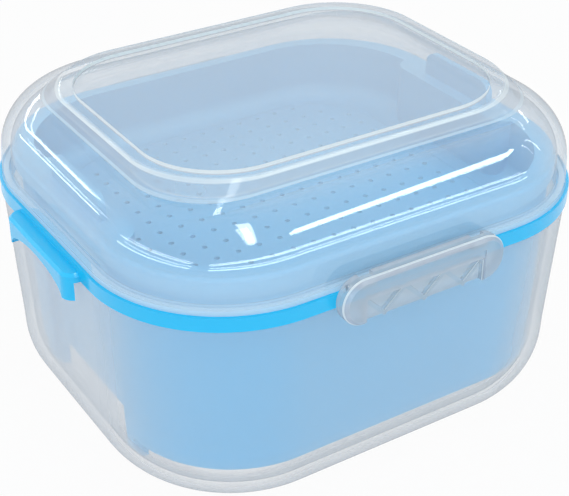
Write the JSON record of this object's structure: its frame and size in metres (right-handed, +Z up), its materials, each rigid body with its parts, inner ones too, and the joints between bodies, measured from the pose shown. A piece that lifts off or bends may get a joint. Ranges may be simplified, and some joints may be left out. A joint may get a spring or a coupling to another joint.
{
  "type": "denture case",
  "caption": "Clear rounded-box denture case with a blue soaking bowl, a lift-out strainer tray, a cyan collar with pull tabs, and a lid held shut by hinged clips.",
  "frame": {"origin": "middle of the underside of the tub, on the surface that the closed case stands on", "axes": "+Z up out of the open tub, -Y towards the front clip, +X towards one pull tab of the collar"},
  "size_m": [0.1056, 0.0944, 0.0652],
  "materials": {
    "clear_plastic": "faintly frosted clear plastic, gloss outside",
    "blue_plastic": "satin light-blue moulded plastic",
    "cyan_plastic": "bright cyan moulded plastic",
    "clip_plastic": "clear moulded plastic",
    "seal_rubber": "soft translucent silicone cord",
    "pin_steel": "ground stainless wire"
  },
  "bodies": {
    "base": {"tub": "clear_plastic", "grip_collar": "cyan_plastic", "tub_seal": "seal_rubber"},
    "bowl": {"soaking_bowl": "blue_plastic"},
    "tray": {"strainer_tray": "blue_plastic", "strainer_plate": "blue_plastic"},
    "lid": {"lid": "clear_plastic", "lid_seal": "seal_rubber", "front_clip_pin": "pin_steel", "rear_clip_pin": "pin_steel"},
    "front_clip": {"front_clip": "clip_plastic"},
    "rear_clip": {"rear_clip": "clip_plastic"}
  },
  "joints": [
    {"name": "lid_lift", "type": "slide", "parent": "base", "child": "lid", "axis": [0, 0, 1], "range_m": [0, 0.1]},
    {"name": "tray_lift", "type": "slide", "parent": "base", "child": "tray", "axis": [0, 0, 1], "range_m": [0, 0.0681]},
    {"name": "bowl_lift", "type": "slide", "parent": "base", "child": "bowl", "axis": [0, 0, 1], "range_m": [0, 0.0451]},
    {"name": "front_clip_hinge", "type": "hinge", "parent": "lid", "child": "front_clip", "pos_m": [0, -0.0453, 0.0482], "axis": [-1, 0, 0], "range_deg": [0, 90]},
    {"name": "rear_clip_hinge", "type": "hinge", "parent": "lid", "child": "rear_clip", "pos_m": [0, 0.0453, 0.0482], "axis": [1, 0, 0], "range_deg": [0, 90]}
  ],
  "couplings": [
    {"joint": "tray_lift", "follows": "lid_lift", "ratio": 0.68},
    {"joint": "bowl_lift", "follows": "lid_lift", "ratio": 0.45}
  ]
}
